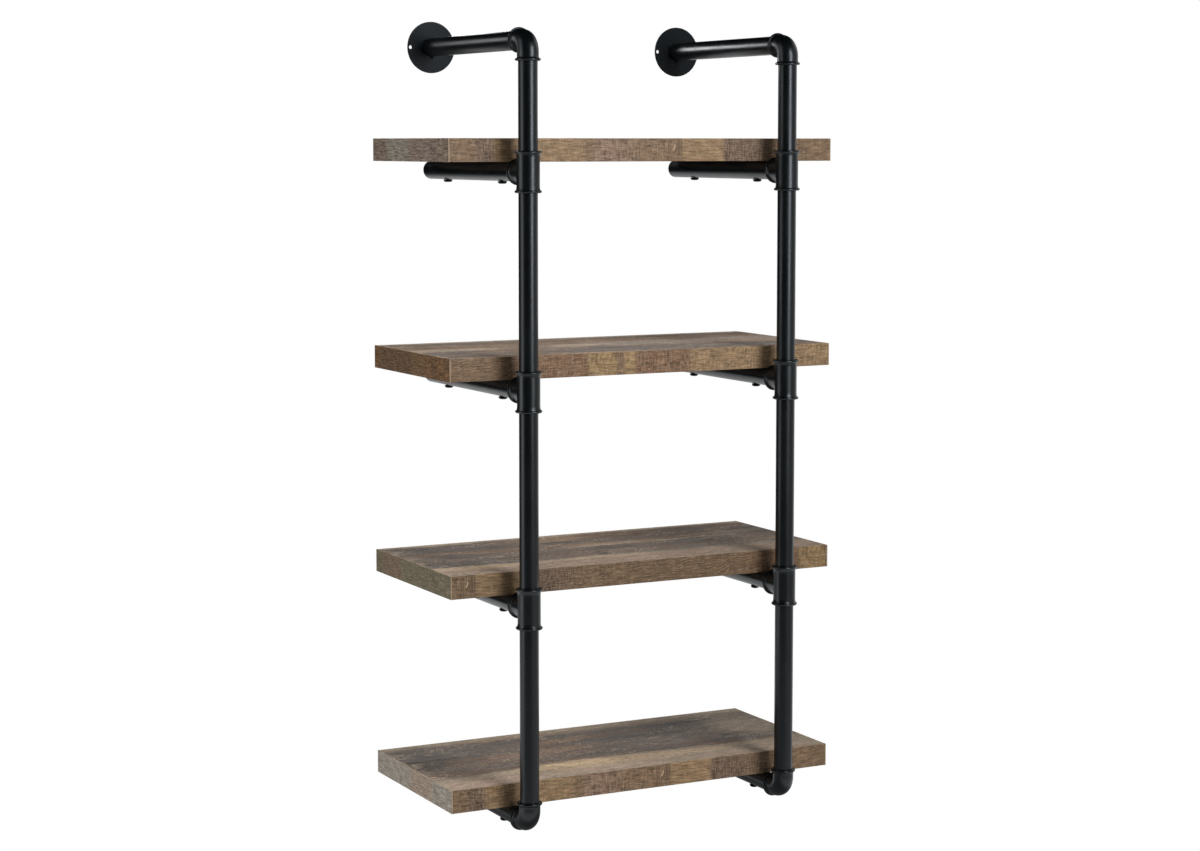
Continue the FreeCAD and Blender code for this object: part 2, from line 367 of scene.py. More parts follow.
@dataclass(frozen=True)
class PrintedOakLaminate:
    """Melamine-faced chipboard: a paper printed with rustic oak, pressed matt with a fine wood emboss.

    It reads as long soft bands of grey-brown ink with darker heart wood, pale flecks and a low, even sheen.

    Attributes:
        name: The material's name.
        patches: The patches of other inks on it, from the board's middle.
        middle_mm: The board's middle across the grain, in the frame.
        along_mm: Place on the endless fibre print under the board's middle, along the grain.
        lightness: Brightness of the inks, where 1 is as on the edge band; per board it holds painted light.
        flipped: Whether the print runs the other way, as it does on the underside.
        margins: Strength of the pale margins along the back and left edges.
        colourfulness: Saturation of the inks, where 1 is as on the edge band.
    """

    name: str
    patches: tuple[Patch, ...]
    middle_mm: float
    along_mm: float
    lightness: float
    flipped: bool = False
    margins: float = 0.0
    colourfulness: float = 0.9

    def build(self) -> Material:
        """Makes the material.

        Returns:
            The material.
        """
        material, tree = new_material(self.name)
        bent = self._place(tree)
        run = add_node(tree, "VectorMath", {0: bent, 1: (self.along_mm, 0.0, 0.0)}, operation="ADD")
        colour, grain = self._grain(tree, run, self._inks(tree, bent, run))
        # Value is the board's brightness: partly the print's tone, partly painted light and shade.
        colour = add_node(tree, "HueSaturation", {
            "Saturation": self.colourfulness, "Value": self.lightness, "Color": colour})
        rough = add_node(tree, "MapRange", {0: grain, 3: 0.54, 4: 0.66})
        close_material(tree, {
            "Base Color": colour, "Roughness": rough, "IOR": 1.5, "Specular IOR Level": 0.15}, grain, 0.06)
        return material

    def _place(self, tree: Tree) -> Source:
        """Place on the print; its grain is bent, as oak wanders by some millimetres over a hand's length.

        Args:
            tree: The material's tree.

        Returns:
            Millimetres along and across the grain, from the board's middle.
        """
        turn = -1.0 if self.flipped else 1.0
        place = add_node(tree, "Mapping", {
            "Vector": add_node(tree, "TexCoord").outputs["Object"],
            "Location": (0.0, -self.middle_mm, 0.0),
            "Scale": (turn / MM, 1 / MM, 0.0)})
        run = add_node(tree, "VectorMath", {0: place, 1: (self.along_mm, 0.0, 0.0)}, operation="ADD")
        drift = grain_noise(tree, run, 190, 46, 3.0, 0.55)
        fray = grain_noise(tree, place, 30, 9, 2.0, 0.6)
        for noise, reach_mm in ((drift, (110.0, 30.0, 0.0)), (fray, (60.0, 16.0, 0.0))):
            centred = add_node(
                tree, "VectorMath", {0: noise.outputs["Color"], 1: (0.5, 0.5, 0.5)}, operation="SUBTRACT")
            place = add_node(
                tree, "VectorMath", {0: centred, 1: reach_mm, 2: place}, operation="MULTIPLY_ADD")
        return place

    def _inks(self, tree: Tree, bent: Source, run: Source) -> Source:
        """Lays the broad bands and patches of ink.

        Args:
            tree: The material's tree.
            bent: Bent place, from the board's middle.
            run: The same place on the endless print.

        Returns:
            The colour.
        """
        bands = grain_noise(tree, run, 420, 34, 4.0, 0.6)
        colour = fill_ramp(add_node(tree, "ValToRGB", {0: bands}), [
            (0.32, Ink.SLATE.colour), (0.44, Ink.STONE.colour), (0.56, Ink.PLUM.colour),
            (0.67, Ink.BROWN.colour), (0.78, Ink.TAN.colour)])
        margins = (
            Patch(0, 176, 2000, 26, Ink.CREAM, 0.9 * self.margins),
            Patch(-402, 0, 14, 900, Ink.CREAM, 0.5 * self.margins, 0.5),
        )
        for patch in self.patches + margins:
            inside = add_node(tree, "Mapping", {
                "Vector": bent,
                "Location": (patch.along_mm, patch.across_mm, 0.0),
                "Scale": (patch.half_length_mm, patch.half_width_mm, 1.0)}, vector_type="TEXTURE")
            ball = add_node(tree, "TexGradient", {0: inside}, gradient_type="SPHERICAL")
            share = add_node(
                tree, "MapRange", {0: ball.outputs[1], 2: patch.fade, 4: patch.strength},
                interpolation_type="SMOOTHSTEP")
            colour = add_node(tree, "Mix", {0: share, 6: colour, 7: patch.tone.colour}, data_type="RGBA")
        return colour

    def _grain(self, tree: Tree, run: Source, colour: Source) -> tuple[Source, Source]:
        """Adds fibres, pale flecks and dark pores.

        Args:
            tree: The material's tree.
            run: Bent place on the endless print.
            colour: The colour so far.

        Returns:
            The colour with its grain, and the grain as a relief pattern.
        """
        # Oak fibres are 0.2 mm wide; here they are about 2 mm, the finest that shows on the whole shelf.
        fibres = grain_noise(tree, run, 40, 2.6, 3.0, 0.6)
        shade = add_node(tree, "MapRange", {0: fibres, 1: NOISE_LOW, 2: NOISE_HIGH, 3: 0.70, 4: 1.30})
        shaded = add_node(tree, "VectorMath", {0: colour, "Scale": shade}, operation="SCALE")
        flecks = grain_noise(tree, run, 9, 3.8)
        flecked_areas = grain_noise(tree, run, 120, 40, 1.0)
        strength = add_node(tree, "MapRange", {0: flecked_areas, 1: 0.40, 2: 0.58, 3: 0.12, 4: 0.72})
        pale = add_node(tree, "MapRange", {0: flecks, 1: 0.55, 2: 0.68, 4: strength})
        dark = add_node(tree, "MapRange", {0: flecks, 1: 0.44, 2: 0.32, 4: 0.5})
        flecked = add_node(tree, "Mix", {0: pale, 6: shaded, 7: PALE_FLECK}, data_type="RGBA")
        pored = add_node(tree, "Mix", {0: dark, 6: flecked, 7: Ink.UMBER.colour}, data_type="RGBA")
        return pored, add_node(tree, "Math", {0: fibres, 1: pale}, operation="ADD")


@dataclass(frozen=True)
class PrintedEdgeBand:
    """ABS edge band printed as saw-cut oak under a matt lacquer.

    It reads as short planks of warmer brown along the edge, each with its own ink, long grain streaks and
    fine saw marks across.

    Attributes:
        name: The material's name.
        run: The way the band runs over the board.
        roll_mm: Place on the roll where the frame's own coordinate is zero.
        height_mm: Height of the board's middle in the frame.
        backwards: Whether the roll runs against the frame's axis.
        colourfulness: Saturation of the inks, where 1 is plain.
        lightness: Brightness of the inks, where 1 is plain; per board it also holds painted light.
        planks: The planks printed on it.
        contrast: Strength of its streaks and flecks, where 1 is plain.
        knot: Strength of the roll's knot.
        wave_mm: Distance between the rings of its wavy heart grain.
        wave_rise_mm: How far those rings swing up and down.
        wave_slope: How steeply they rise along the roll.
    """

    name: str
    run: Axis
    roll_mm: float
    height_mm: float
    backwards: bool
    colourfulness: float
    lightness: float
    planks: tuple[Plank, ...] = ROLL
    contrast: float = 1.0
    knot: float = 1.0
    wave_mm: float = 4.2
    wave_rise_mm: float = 11.0
    wave_slope: float = -0.2

    def build(self) -> Material:
        """Makes the material.

        Returns:
            The material.
        """
        material, tree = new_material(self.name)
        flat, bent, bent_along = self._place(tree)
        colour, marks, waves = self._planks(tree, bent_along)
        colour, relief = self._saw_cut(tree, flat, bent, colour, marks)
        colour = self._knot(tree, flat, self._waves(tree, flat, colour, waves))
        # Value is the board's brightness: partly the print's tone, partly painted light on this band.
        colour = add_node(tree, "HueSaturation", {
            "Saturation": self.colourfulness, "Value": self.lightness, "Color": colour})
        rough = add_node(tree, "MapRange", {0: relief, 3: 0.62, 4: 0.48})
        close_material(tree, {
            "Base Color": colour, "Roughness": rough, "IOR": 1.5, "Specular IOR Level": 0.2}, relief, 0.08)
        return material

    def _place(self, tree: Tree) -> tuple[Source, Source, Source]:
        """Place on the roll in millimetres, straight and with its plank ends and grain bent a little.

        Args:
            tree: The material's tree.

        Returns:
            Place along the roll and up from its middle, that place bent, and the bent place along it alone.
        """
        parts = add_node(tree, "SeparateXYZ", {0: add_node(tree, "TexCoord").outputs["Object"]})
        turn = -1.0 if self.backwards else 1.0
        along = add_node(
            tree, "Math", {0: parts.outputs[self.run.value], 1: turn / MM, 2: self.roll_mm},
            operation="MULTIPLY_ADD")
        across = add_node(
            tree, "Math", {0: parts.outputs[2], 1: 1 / MM, 2: -self.height_mm}, operation="MULTIPLY_ADD")
        flat = add_node(tree, "CombineXYZ", {0: along, 1: across})
        drift = grain_noise(tree, flat, 75, 16)
        shift = add_node(tree, "MapRange", {0: drift, 3: -5.0, 4: 5.0}, clamp=False)
        sway = add_node(tree, "CombineXYZ", {1: shift})
        bent = add_node(tree, "VectorMath", {0: flat, 1: sway}, operation="ADD")
        return flat, bent, add_node(tree, "Math", {0: along, 1: shift}, operation="ADD")

    def _planks(self, tree: Tree, along: Source) -> tuple[Source, Source, Source]:
        """Lays the roll's planks end to end.

        Args:
            tree: The material's tree.
            along: Bent place along the roll.

        Returns:
            The ink, the strength of the saw marks, and that of the wavy grain.
        """
        start = self.planks[0].start_mm
        end = self.planks[-1].start_mm + self.planks[-1].blend_mm
        places, shown = [0.0], [self.planks[0]]
        for before, plank in zip(self.planks, self.planks[1:]):
            for side, seen in ((-1, before), (1, plank)):
                places.append((plank.start_mm + side * plank.blend_mm / 2 - start) / (end - start))
                shown.append(seen)
        share = add_node(tree, "MapRange", {0: along, 1: start, 2: end})
        ink = fill_ramp(add_node(tree, "ValToRGB", {0: share}), [
            (spot, plank.tone.colour) for spot, plank in zip(places, shown)])
        kind = fill_ramp(add_node(tree, "ValToRGB", {0: share}), [
            (spot, (plank.saw_marks, plank.waves, 0.0, 1.0)) for spot, plank in zip(places, shown)])
        split = add_node(tree, "SeparateColor", {0: kind})
        return ink, split.outputs[0], split.outputs[1]

    def _saw_cut(
        self, tree: Tree, flat: Source, bent: Source, colour: Source, marks: Source
    ) -> tuple[Source, Source]:
        """Adds grain streaks, the marks of a frame saw and pale flecks.

        Args:
            tree: The material's tree.
            flat: Place on the roll.
            bent: Bent place on the roll.
            colour: The ink so far.
            marks: Strength of the saw marks.

        Returns:
            The colour, and the relief pattern.
        """
        streaks = grain_noise(tree, bent, 30, 2.3, 4.0, 0.65)
        swing = 0.40 * self.contrast
        shade = add_node(tree, "MapRange", {
            0: streaks, 1: NOISE_LOW, 2: NOISE_HIGH, 3: 1 - swing, 4: 1 + swing})
        cloud = grain_noise(tree, flat, 24, 13)
        level = add_node(tree, "MapRange", {0: cloud, 1: 0.34, 2: 0.66, 3: 0.89, 4: 1.11})
        both = add_node(tree, "Math", {0: shade, 1: level}, operation="MULTIPLY")
        shaded = add_node(tree, "VectorMath", {0: colour, "Scale": both}, operation="SCALE")
        # Real kerf marks are 0.5 mm wide and 2 mm apart; here they are coarser, the finest that shows.
        kerfs = grain_noise(tree, flat, 2.7, 22, 3.0, 0.7)
        cut = add_node(tree, "MapRange", {0: kerfs, 1: 0.52, 2: 0.40, 4: 0.62})
        gaps = grain_noise(tree, flat, 11, 9)
        patchy = add_node(tree, "MapRange", {0: gaps, 1: 0.38, 2: 0.58, 3: 0.1, 4: 1.0})
        for share in (marks, patchy):
            cut = add_node(tree, "Math", {0: cut, 1: share}, operation="MULTIPLY")
        sawn = add_node(tree, "Mix", {0: cut, 6: shaded, 7: KERF_DARK}, data_type="RGBA")
        ridge = add_node(tree, "MapRange", {0: kerfs, 1: 0.54, 2: 0.66, 4: 0.28 * self.contrast})
        ridges = add_node(tree, "Math", {0: ridge, 1: marks}, operation="MULTIPLY")
        specks = grain_noise(tree, bent, 9, 2.2, 2.0, 0.6)
        speck = add_node(tree, "MapRange", {0: specks, 1: 0.56, 2: 0.72, 4: 0.32 * self.contrast})
        bright = add_node(tree, "Math", {0: ridges, 1: speck}, operation="MAXIMUM")
        flecked = add_node(tree, "Mix", {0: bright, 6: sawn, 7: PALE_FLECK}, data_type="RGBA")
        return flecked, add_node(tree, "Math", {0: streaks, 1: cut}, operation="SUBTRACT")

    def _waves(self, tree: Tree, flat: Source, colour: Source, waves: Source) -> Source:
        """Adds the wavy heart grain, whose rings rise slowly along the roll.

        Args:
            tree: The material's tree.
            flat: Place on the roll.
            colour: The colour so far.
            waves: Strength of the wavy grain.

        Returns:
            The colour.
        """
        swell = grain_noise(tree, flat, 48, 26, 1.5)
        rise = add_node(
            tree, "MapRange", {0: swell, 3: -self.wave_rise_mm, 4: self.wave_rise_mm}, clamp=False)
        parts = add_node(tree, "SeparateXYZ", {0: flat})
        ring = add_node(tree, "Math", {0: parts.outputs[1], 1: rise}, operation="ADD")
        leant = add_node(
            tree, "Math", {0: parts.outputs[0], 1: self.wave_slope, 2: ring}, operation="MULTIPLY_ADD")
        turn = add_node(tree, "Math", {0: leant, 1: 2 * math.pi / self.wave_mm}, operation="MULTIPLY")
        line = add_node(tree, "Math", {0: turn}, operation="SINE")
        dark = add_node(tree, "MapRange", {0: line, 1: -0.1, 2: 0.9, 4: 0.8})
        share = add_node(tree, "Math", {0: dark, 1: waves}, operation="MULTIPLY")
        return add_node(tree, "Mix", {0: share, 6: colour, 7: Ink.UMBER.colour}, data_type="RGBA")

    def _knot(self, tree: Tree, flat: Source, colour: Source) -> Source:
        """Adds the roll's small pale crescent knot at its zero mark, and the dark grain on both sides of it.

        Args:
            tree: The material's tree.
            flat: Place on the roll.
            colour: The colour so far.

        Returns:
            The colour.
        """
        place = add_node(tree, "SeparateXYZ", {0: flat})
        near = add_node(tree, "MapRange", {0: place.outputs[0], 1: -30.0, 2: 30.0})
        stripes = fill_ramp(add_node(tree, "ValToRGB", {0: near}), [
            (spot, (depth, depth, depth, 1.0)) for spot, depth in (
                (0.28, 0.0), (0.33, 0.6), (0.37, 0.1), (0.41, 0.5), (0.46, 0.0), (0.64, 0.0), (0.68, 0.6),
                (0.73, 0.1), (0.78, 0.6), (0.82, 0.0))])
        depth = add_node(tree, "Math", {0: stripes, 1: self.knot}, operation="MULTIPLY")
        striped = add_node(tree, "Mix", {0: depth, 6: colour, 7: Ink.UMBER.colour}, data_type="RGBA")
        oval = add_node(tree, "Mapping", {
            "Vector": flat, "Location": (0.0, 5.0, 0.0), "Rotation": (0.0, 0.0, -0.35),
            "Scale": (3.4, 6.4, 1.0)}, vector_type="TEXTURE")
        reach = add_node(tree, "VectorMath", {0: oval}, operation="LENGTH")
        rim = add_node(tree, "Math", {0: reach, 1: 0.8, 2: 0.28}, operation="COMPARE")
        parts = add_node(tree, "SeparateXYZ", {0: oval})
        right = add_node(tree, "MapRange", {0: parts.outputs[0], 1: 0.0, 2: 0.4, 4: 0.9 * self.knot})
        share = add_node(tree, "Math", {0: rim, 1: right}, operation="MULTIPLY")
        return add_node(tree, "Mix", {0: share, 6: striped, 7: KNOT_PALE}, data_type="RGBA")


@dataclass(frozen=True)
class BandBody:
    """The unprinted body of the ABS edge band, trimmed flush: a pale tan line where its thickness shows.

    Attributes:
        name: The material's name.
        chatter_mm: Distance between the marks that trimming leaves.
    """

    name: str = "abs_band_body"
    chatter_mm: float = 1.0

    def build(self) -> Material:
        """Makes the material.

        Returns:
            The material.
        """
        material, tree = new_material(self.name)
        chatter = surface_noise(tree, self.chatter_mm)
        colour = fill_ramp(add_node(tree, "ValToRGB", {0: chatter}), [
            (0.35, linear("#9B8770")), (0.65, linear("#B7A48C"))])
        close_material(tree, {"Base Color": colour, "Roughness": 0.5, "IOR": 1.53}, chatter, 0.02)
        return material


@dataclass(frozen=True)
class ChipboardCore:
    """Raw chipboard, pressed from wood flakes: seen only inside the drilled holes, as rough pale flakes.

    Attributes:
        name: The material's name.
        flake_mm: Width of the flakes.
    """

    name: str = "chipboard_core"
    flake_mm: float = 2.5

    def build(self) -> Material:
        """Makes the material.

        Returns:
            The material.
        """
        material, tree = new_material(self.name)
        flakes = add_node(tree, "TexVoronoi", {
            "Vector": add_node(tree, "TexCoord").outputs["Object"], "Scale": 1 / (self.flake_mm * MM)})
        colour = fill_ramp(add_node(tree, "ValToRGB", {0: flakes}), [
            (0.1, linear("#B79A70")), (0.7, linear("#8B6D47"))])
        close_material(tree, {"Base Color": colour, "Roughness": 0.85, "IOR": 1.5}, flakes, 0.2)
        return material


@dataclass(frozen=True)
class BlackPowderCoat:
    """Polyester powder coat, baked on steel: near-black and satin, with a faint orange peel.

    Attributes:
        name: The material's name.
        colour: Its colour as a hex value.
        roughness: Mean roughness.
        peel_mm: Wave length of the orange peel, or of the casting skin under the coat.
        peel_depth_mm: Height of those waves.
        shine: Specular level, where 0.5 is a plain coat.
        sheen_colour: Tint of its reflections; the coat is a blue-black.
        cloud_mm: Size of the slightly paler and rougher areas.
    """

    name: str
    colour: str
    roughness: float
    peel_mm: float
    peel_depth_mm: float
    shine: float
    sheen_colour: str = "#EAF2FA"
    cloud_mm: float = 60.0

    def build(self) -> Material:
        """Makes the material.

        Returns:
            The material.
        """
        material, tree = new_material(self.name)
        peel = surface_noise(tree, self.peel_mm, 3.0, 0.6)
        cloud = surface_noise(tree, self.cloud_mm)
        colour = add_node(
            tree, "Mix", {0: cloud, 6: linear(self.colour), 7: linear(self.colour, 1.35)}, data_type="RGBA")
        rough = add_node(tree, "MapRange", {
            0: cloud, 1: 0.3, 2: 0.7, 3: self.roughness - 0.03, 4: self.roughness + 0.03})
        close_material(tree, {
            "Base Color": colour, "Roughness": rough, "IOR": 1.5, "Specular IOR Level": self.shine,
            "Specular Tint": linear(self.sheen_colour)}, peel, self.peel_depth_mm)
        return material


@dataclass(frozen=True)
class MouldedPlug:
    """Black polyethylene, injection moulded: softer and greyer than the coat, with the mould's spark texture.

    Attributes:
        name: The material's name.
        spark_mm: Size of that texture.
    """

    name: str = "moulded_polyethylene"
    spark_mm: float = 0.8

    def build(self) -> Material:
        """Makes the material.

        Returns:
            The material.
        """
        material, tree = new_material(self.name)
        spark = surface_noise(tree, self.spark_mm)
        colour = fill_ramp(add_node(tree, "ValToRGB", {0: spark}), [
            (0.3, linear("#17181A")), (0.7, linear("#202225"))])
        close_material(tree, {
            "Base Color": colour, "Roughness": 0.55, "IOR": 1.51, "Specular IOR Level": 0.35}, spark, 0.03)
        return material


@dataclass(frozen=True)
class PlatedSteel:
    """Turned steel with a thin plating, which keeps its own metal shine.

    Attributes:
        name: The material's name.
        colour: Reflected colour as a hex value.
        roughness: Mean roughness.
        turning_mm: Pitch of the tool marks.
    """

    name: str
    colour: str
    roughness: float
    turning_mm: float

    def build(self) -> Material:
        """Makes the material.

        Returns:
            The material.
        """
        material, tree = new_material(self.name)
        turned = surface_noise(tree, self.turning_mm)
        rough = add_node(tree, "MapRange", {
            0: turned, 1: 0.3, 2: 0.7, 3: self.roughness - 0.06, 4: self.roughness + 0.06})
        colour = fill_ramp(add_node(tree, "ValToRGB", {0: turned}), [
            (0.3, linear(self.colour, 0.8)), (0.7, linear(self.colour))])
        close_material(tree, {"Base Color": colour, "Metallic": 1.0, "Roughness": rough}, turned, 0.01)
        return material


@dataclass(frozen=True)
class Finishes:
    """The finishes that several pieces share, each made once."""

    tube: Material = field(default_factory=BlackPowderCoat(
        "satin_powder_coat_on_tube", "#040607", 0.33, 3.0, 0.012, 0.5).build)
    casting: Material = field(default_factory=BlackPowderCoat(
        "satin_powder_coat_on_casting", "#040607", 0.32, 1.6, 0.022, 0.55).build)
    plate: Material = field(default_factory=BlackPowderCoat(
        "matt_powder_coat_on_plate", "#06090B", 0.45, 3.0, 0.010, 0.14).build)
    plug: Material = field(default_factory=MouldedPlug().build)
    bolt: Material = field(default_factory=PlatedSteel("black_oxide_steel", "#1E1F21", 0.38, 0.7).build)
    insert: Material = field(default_factory=PlatedSteel("zinc_plated_steel", "#B9BBBD", 0.30, 0.5).build)
    band_body: Material = field(default_factory=BandBody().build)
    core: Material = field(default_factory=ChipboardCore().build)


def dress(node: str, material: Material) -> None:
    """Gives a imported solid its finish.

    Args:
        node: The solid's name.
        material: The finish.
    """
    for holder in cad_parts[node].material_slots:
        holder.material = material
    log.info("piece %s: %s", node, material.name)


@dataclass
class Shelf:
    """A board: a laminated panel with four edge bands, and the bolts and inserts that hold it.

    Attributes:
        level: The board's level, the first part of its solids' names.
        finishes: The shared finishes.
        front_roll_mm: Place on the roll of edge band at x = 0 on the front edge.
        front_tone_and_painted_light: Brightness of the long bands' inks, partly tone and partly painted light
            per board.
        end_colourfulness: Saturation of the end bands' inks.
        end_tone_and_painted_light: Brightness of the end bands' inks, partly tone and partly painted light per
            board.
        end_contrast: Contrast of the end bands' grain.
        face_tone_and_painted_light: Brightness of the face print's inks, partly tone and partly painted light
            per board.
        print_along_mm: Place on the endless face print under the board's middle.
        band: Thickness of the edge band.
        arris: Radius of the band's outer edges.
        joint: Width of the fine chamfer between panel and band.
        hole_radius: Radius of the drilled holes.
        hole_turns: Flats that a drilled hole is made of.
        back_roll_mm: Length of roll from the front edge's print to the back edge's.
        under_print_mm: Length of print from the face to the underside.
        under_painted_shade_share: Brightness of the underside as a share of the face's; below 1 it is painted
            shade.
        front_colourfulness: Saturation of the long bands' inks.
        sharp_degrees: Angle from which on an edge is drawn sharp.
    """

    level: str
    finishes: Finishes
    front_roll_mm: float
    front_tone_and_painted_light: float
    end_colourfulness: float
    end_tone_and_painted_light: float
    end_contrast: float
    face_tone_and_painted_light: float
    print_along_mm: float
    band: float = 2.0 * MM
    arris: float = 0.8 * MM
    joint: float = 0.15 * MM
    hole_radius: float = 5.0 * MM
    hole_turns: int = 32
    back_roll_mm: float = 330.0
    under_print_mm: float = 5000.0
    under_painted_shade_share: float = 0.9
    front_colourfulness: float = 1.05
    sharp_degrees: float = 40.0

    def __post_init__(self) -> None:
        """Reads the board's place from its solids."""
        self.low, self.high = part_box(self.level + "_shelf")

    def build(self) -> None:
        """Builds the board and dresses its bolts and inserts."""
        self._panel()
        self._bands()
        dress(self.level + "_shelf_bolts", self.finishes.bolt)
        dress(self.level + "_shelf_inserts", self.finishes.insert)

    def _settle(self, piece: bpy.types.Object, note: str) -> None:
        """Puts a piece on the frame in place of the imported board.

        Args:
            piece: The piece.
            note: What it is made of, for the log.
        """
        bpy.context.scene.collection.objects.link(piece)
        piece.data.set_sharp_from_angle(angle=math.radians(self.sharp_degrees))
        piece.modifiers.new("weighted_normals", "WEIGHTED_NORMAL").keep_sharp = True
        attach(piece, BODY)
        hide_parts(self.level + "_shelf")
        log.info("piece %s: %s", piece.name, note)

    def _hole_centres(self) -> list[tuple[float, float]]:
        """Middles of the drilled holes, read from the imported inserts.

        Returns:
            x and y of each hole.
        """
        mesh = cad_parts[self.level + "_shelf_inserts"].data
        corners: dict[tuple[bool, bool], list[Vector]] = {}
        for vertex in mesh.vertices:
            side = (vertex.co.x > 0, vertex.co.y > (self.low.y + self.high.y) / 2)
            corners.setdefault(side, []).append(vertex.co)
        middles = []
        for points in corners.values():
            xs, ys = [p.x for p in points], [p.y for p in points]
            middles.append(((min(xs) + max(xs)) / 2, (min(ys) + max(ys)) / 2))
        return middles

    def _panel(self) -> None:
        """Builds the laminated chipboard panel, with its four holes drilled from below."""
        low = self.low + Vector((self.band, self.band, 0))
        high = self.high - Vector((self.band, self.band, 0))
        mesh = bmesh.new()
        rings = []
        for inset, z in ((self.joint, low.z), (0.0, low.z + self.joint), (0.0, high.z - self.joint),
                         (self.joint, high.z)):
            corners = ((low.x + inset, low.y + inset), (high.x - inset, low.y + inset),
                       (high.x - inset, high.y - inset), (low.x + inset, high.y - inset))
            rings.append([mesh.verts.new((x, y, z)) for x, y in corners])
        for below, above in zip(rings, rings[1:]):
            for i in range(4):
                face = mesh.faces.new((below[i], below[(i + 1) % 4], above[(i + 1) % 4], above[i]))
                face.material_index = CORE_SLOT
        mesh.faces.new(rings[-1]).material_index = FACE_SLOT
        self._underside(mesh, rings[0], low.z)
        bmesh.ops.recalc_face_normals(mesh, faces=mesh.faces)
        piece = self._object(self.level + "_panel", mesh)
        patches, middle_mm = PATCHES[self.level], (self.low.y + self.high.y) / 2 / MM
        face_print = PrintedOakLaminate(
            self.level + "_oak_laminate_top", patches, middle_mm, self.print_along_mm, self.face_tone_and_painted_light,
            margins=1.0)
        # The underside is darker than the face by under_painted_shade_share: painted shade under the board.
        under_print = PrintedOakLaminate(
            self.level + "_oak_laminate_underside", patches, middle_mm,
            self.print_along_mm + self.under_print_mm, self.under_painted_shade_share * self.face_tone_and_painted_light,
            flipped=True)
        for material in (face_print.build(), under_print.build(), self.finishes.core):
            piece.data.materials.append(material)
        self._settle(piece, "chipboard under printed oak laminate")

    def _underside(self, mesh: bmesh.types.BMesh, outline: list[bmesh.types.BMVert], z: float) -> None:
        """Closes the panel's underside round its drilled holes.

        Args:
            mesh: The panel's mesh.
            outline: The underside's corners.
            z: Its height.
        """
        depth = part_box(self.level + "_shelf_inserts")[1].z - z
        loops = [outline]
        for x, y in self._hole_centres():
            rim, floor = [], []
            for i in range(self.hole_turns):
                turn = 2 * math.pi * i / self.hole_turns
                spot = Vector((
                    x + self.hole_radius * math.cos(turn), y + self.hole_radius * math.sin(turn), z))
                rim.append(mesh.verts.new(spot))
                floor.append(mesh.verts.new(spot + Vector((0, 0, depth))))
            for i in range(self.hole_turns):
                j = (i + 1) % self.hole_turns
                mesh.faces.new((rim[i], rim[j], floor[j], floor[i])).material_index = CORE_SLOT
            mesh.faces.new(floor).material_index = CORE_SLOT
            loops.append(rim)
        edges = []
        for loop in loops:
            for a, b in zip(loop, loop[1:] + loop[:1]):
                edges.append(mesh.edges.get((a, b)) or mesh.edges.new((a, b)))
        filled = bmesh.ops.triangle_fill(mesh, edges=edges, use_beauty=True, use_dissolve=False)
        for face in filled["geom"]:
            if isinstance(face, bmesh.types.BMFace):
                face.material_index = UNDERSIDE_SLOT

    def _bands(self) -> None:
        """Builds the four edge bands; the end ones are glued last and cover the ends of the long ones."""
        middle_mm = (self.low.z + self.high.z) / 2 / MM
        long_look = (self.front_colourfulness, self.front_tone_and_painted_light)
        end_look = (
            self.end_colourfulness, self.end_tone_and_painted_light, END_PLANKS[self.level], self.end_contrast, 0.0)
        for side, outward, run, roll_mm, backwards, look in (
            ("front", (0, -1, 0), Axis.X, self.front_roll_mm, False, long_look),
            ("back", (0, 1, 0), Axis.X, self.front_roll_mm + self.back_roll_mm, True, long_look),
            ("left", (-1, 0, 0), Axis.Y, self.high.y / MM, True, end_look),
            ("right", (1, 0, 0), Axis.Y, -self.low.y / MM, False, end_look),
        ):
            piece = self._strip(f"{self.level}_{side}_band", Vector(outward))
            finish = PrintedEdgeBand(
                f"{self.level}_oak_band_{side}", run, roll_mm, middle_mm, backwards, *look)
            piece.data.materials.append(finish.build())
            piece.data.materials.append(self.finishes.band_body)
            self._settle(piece, "printed edge band")

    def _strip(self, name: str, outward: Vector) -> bpy.types.Object:
        """Builds one band: a thin strip whose outer edges are rounded.

        Args:
            name: The piece's name.
            outward: The way its printed face looks.

        Returns:
            The piece.
        """
        low, high, positive = self.low.copy(), self.high.copy(), sum(outward) > 0
        if outward.y:
            low.x += self.band
            high.x -= self.band
        across = 1 if outward.y else 0
        if positive:
            low[across] = high[across] - self.band
        else:
            high[across] = low[across] + self.band
        mesh = bmesh.new()
        bmesh.ops.create_cube(mesh, size=1.0)
        for vertex in mesh.verts:
            vertex.co = Vector((low[i] + (vertex.co[i] + 0.5) * (high[i] - low[i]) for i in range(3)))
        printed = high if positive else low
        outer = [e for e in mesh.edges if all(abs((v.co - printed).dot(outward)) < TOUCHING for v in e.verts)]
        bmesh.ops.bevel(mesh, geom=outer, offset=self.arris, segments=3, profile=0.5, affect="EDGES")
        # The print runs round the rounded edges, as far as they look outward.
        for face in mesh.faces:
            face.material_index = 0 if face.normal.dot(outward) > 0.3 else 1
        return self._object(name, mesh)

    def _object(self, name: str, mesh: bmesh.types.BMesh) -> bpy.types.Object:
        """Turns a working mesh into an object with smooth shading.

        Args:
            name: The piece's name.
            mesh: The working mesh, which is freed.

        Returns:
            The object.
        """
        data = bpy.data.meshes.new(name)
        mesh.to_mesh(data)
        mesh.free()
        data.polygons.foreach_set("use_smooth", [True] * len(data.polygons))
        return bpy.data.objects.new(name, data)


